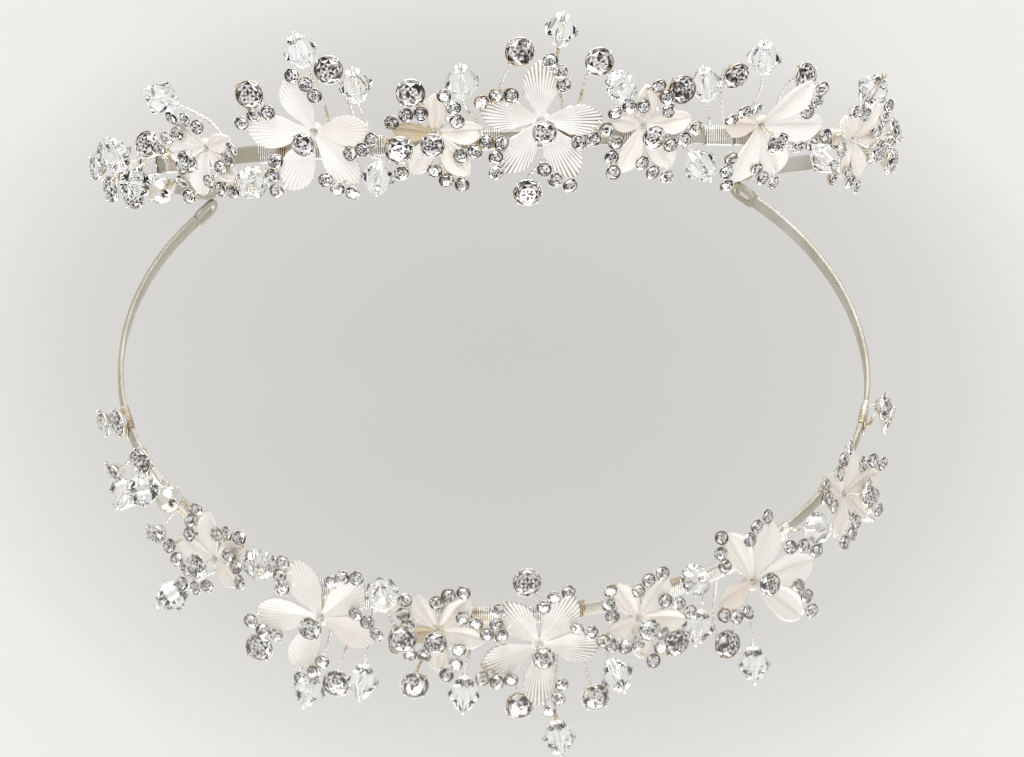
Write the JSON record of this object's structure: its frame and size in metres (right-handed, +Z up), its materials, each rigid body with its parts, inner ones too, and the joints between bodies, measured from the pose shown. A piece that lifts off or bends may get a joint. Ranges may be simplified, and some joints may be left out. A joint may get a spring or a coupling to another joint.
{
  "type": "bridal tiara",
  "caption": "Slim silver headband tiara with wired pearl-white cast flowers, foiled chaton sprays and clear glass beads that spin on their stems.",
  "frame": {"origin": "centre of the opening that the head fills, in the plane of the band", "axes": "+X to the right as seen from the front, -Y to the front, +Z up as worn, with the band's plane raised 25 degrees at the front"},
  "size_m": [0.1512, 0.1077, 0.0732],
  "materials": {
    "satin_silver": "silver plate, satin and slightly tarnished to khaki",
    "silver_wire": "bright silver-plated wire, cups and twisted stems",
    "pearl_petal": "satin pearl enamel, ivory with a faint peach blush, fine radial grooves",
    "foiled_glass": "brilliant-cut glass with a foiled back, high contrast facets",
    "clear_glass": "clear faceted glass"
  },
  "bodies": {
    "root": {"headband": "satin_silver", "flower_wire_1": "silver_wire", "flower_wire_2": "silver_wire", "flower_wire_3": "silver_wire", "flower_wire_4": "silver_wire", "flower_wire_5": "silver_wire", "flower_wire_6": "silver_wire", "flower_wire_7": "silver_wire", "spray_wire_1": "silver_wire", "spray_wire_2": "silver_wire", "spray_wire_3": "silver_wire", "spray_wire_4": "silver_wire", "spray_wire_5": "silver_wire", "spray_wire_6": "silver_wire", "spray_wire_7": "silver_wire", "spray_wire_8": "silver_wire", "spray_wire_9": "silver_wire", "spray_wire_10": "silver_wire", "spray_wire_11": "silver_wire", "spray_wire_12": "silver_wire", "spray_wire_13": "silver_wire", "flower_1": "pearl_petal", "flower_2": "pearl_petal", "flower_3": "pearl_petal", "flower_4": "pearl_petal", "flower_5": "pearl_petal", "flower_6": "pearl_petal", "flower_7": "pearl_petal", "centre_stone_1": "foiled_glass", "centre_stone_2": "foiled_glass", "centre_stone_3": "foiled_glass", "centre_stone_4": "foiled_glass", "centre_stone_5": "foiled_glass", "centre_stone_6": "foiled_glass", "centre_stone_7": "foiled_glass", "chaton_1": "foiled_glass", "chaton_2": "foiled_glass", "chaton_3": "foiled_glass", "chaton_4": "foiled_glass", "chaton_5": "foiled_glass", "chaton_6": "foiled_glass", "chaton_7": "foiled_glass", "chaton_8": "foiled_glass", "chaton_9": "foiled_glass", "chaton_10": "foiled_glass"},
    "bead_1": {"bead_1": "clear_glass"},
    "bead_2": {"bead_2": "clear_glass"},
    "bead_3": {"bead_3": "clear_glass"},
    "bead_4": {"bead_4": "clear_glass"},
    "bead_5": {"bead_5": "clear_glass"},
    "bead_6": {"bead_6": "clear_glass"},
    "bead_7": {"bead_7": "clear_glass"},
    "bead_8": {"bead_8": "clear_glass"},
    "bead_9": {"bead_9": "clear_glass"},
    "bead_10": {"bead_10": "clear_glass"},
    "bead_11": {"bead_11": "clear_glass"},
    "bead_12": {"bead_12": "clear_glass"},
    "bead_13": {"bead_13": "clear_glass"},
    "bead_14": {"bead_14": "clear_glass"},
    "bead_15": {"bead_15": "clear_glass"}
  },
  "joints": [
    {"name": "bead_1_spin", "type": "hinge", "parent": "root", "child": "bead_1", "pos_m": [-0.06819, -0.02827, 0.00921], "axis": [-0.9848, 0.065, 0.1613], "continuous": true},
    {"name": "bead_2_spin", "type": "hinge", "parent": "root", "child": "bead_2", "pos_m": [-0.07142, -0.02195, 0.01244], "axis": [-0.4511, 0.1705, 0.876], "continuous": true},
    {"name": "bead_3_spin", "type": "hinge", "parent": "root", "child": "bead_3", "pos_m": [-0.06344, -0.03439, 0.02795], "axis": [-0.8582, -0.1597, 0.4878], "continuous": true},
    {"name": "bead_4_spin", "type": "hinge", "parent": "root", "child": "bead_4", "pos_m": [-0.04789, -0.0476, 0.01624], "axis": [-0.0783, -0.9969, -0.0014], "continuous": true},
    {"name": "bead_5_spin", "type": "hinge", "parent": "root", "child": "bead_5", "pos_m": [-0.03916, -0.04906, 0.04141], "axis": [-0.3708, -0.0504, 0.9273], "continuous": true},
    {"name": "bead_6_spin", "type": "hinge", "parent": "root", "child": "bead_6", "pos_m": [-0.02989, -0.05575, 0.03692], "axis": [-0.1837, -0.1463, 0.972], "continuous": true},
    {"name": "bead_7_spin", "type": "hinge", "parent": "root", "child": "bead_7", "pos_m": [-0.02607, -0.05574, 0.01948], "axis": [-0.1528, -0.7975, -0.5837], "continuous": true},
    {"name": "bead_8_spin", "type": "hinge", "parent": "root", "child": "bead_8", "pos_m": [-0.01146, -0.05966, 0.03841], "axis": [-0.0999, -0.2517, 0.9626], "continuous": true},
    {"name": "bead_9_spin", "type": "hinge", "parent": "root", "child": "bead_9", "pos_m": [0.006, -0.06047, 0.04784], "axis": [0.0946, -0.2525, 0.963], "continuous": true},
    {"name": "bead_10_spin", "type": "hinge", "parent": "root", "child": "bead_10", "pos_m": [0.01685, -0.05895, 0.03632], "axis": [0.336, -0.7114, 0.6173], "continuous": true},
    {"name": "bead_11_spin", "type": "hinge", "parent": "root", "child": "bead_11", "pos_m": [0.03162, -0.05545, 0.01946], "axis": [0.426, -0.76, -0.4908], "continuous": true},
    {"name": "bead_12_spin", "type": "hinge", "parent": "root", "child": "bead_12", "pos_m": [0.03323, -0.04829, 0.03223], "axis": [-0.1692, -0.1505, 0.974], "continuous": true},
    {"name": "bead_13_spin", "type": "hinge", "parent": "root", "child": "bead_13", "pos_m": [0.04316, -0.05248, 0.03838], "axis": [0.0236, -0.2584, 0.9657], "continuous": true},
    {"name": "bead_14_spin", "type": "hinge", "parent": "root", "child": "bead_14", "pos_m": [0.05585, -0.04355, 0.01545], "axis": [0.6019, -0.7011, -0.3823], "continuous": true},
    {"name": "bead_15_spin", "type": "hinge", "parent": "root", "child": "bead_15", "pos_m": [0.06754, -0.02331, 0.02058], "axis": [0.5773, 0.0676, 0.8137], "continuous": true}
  ]
}
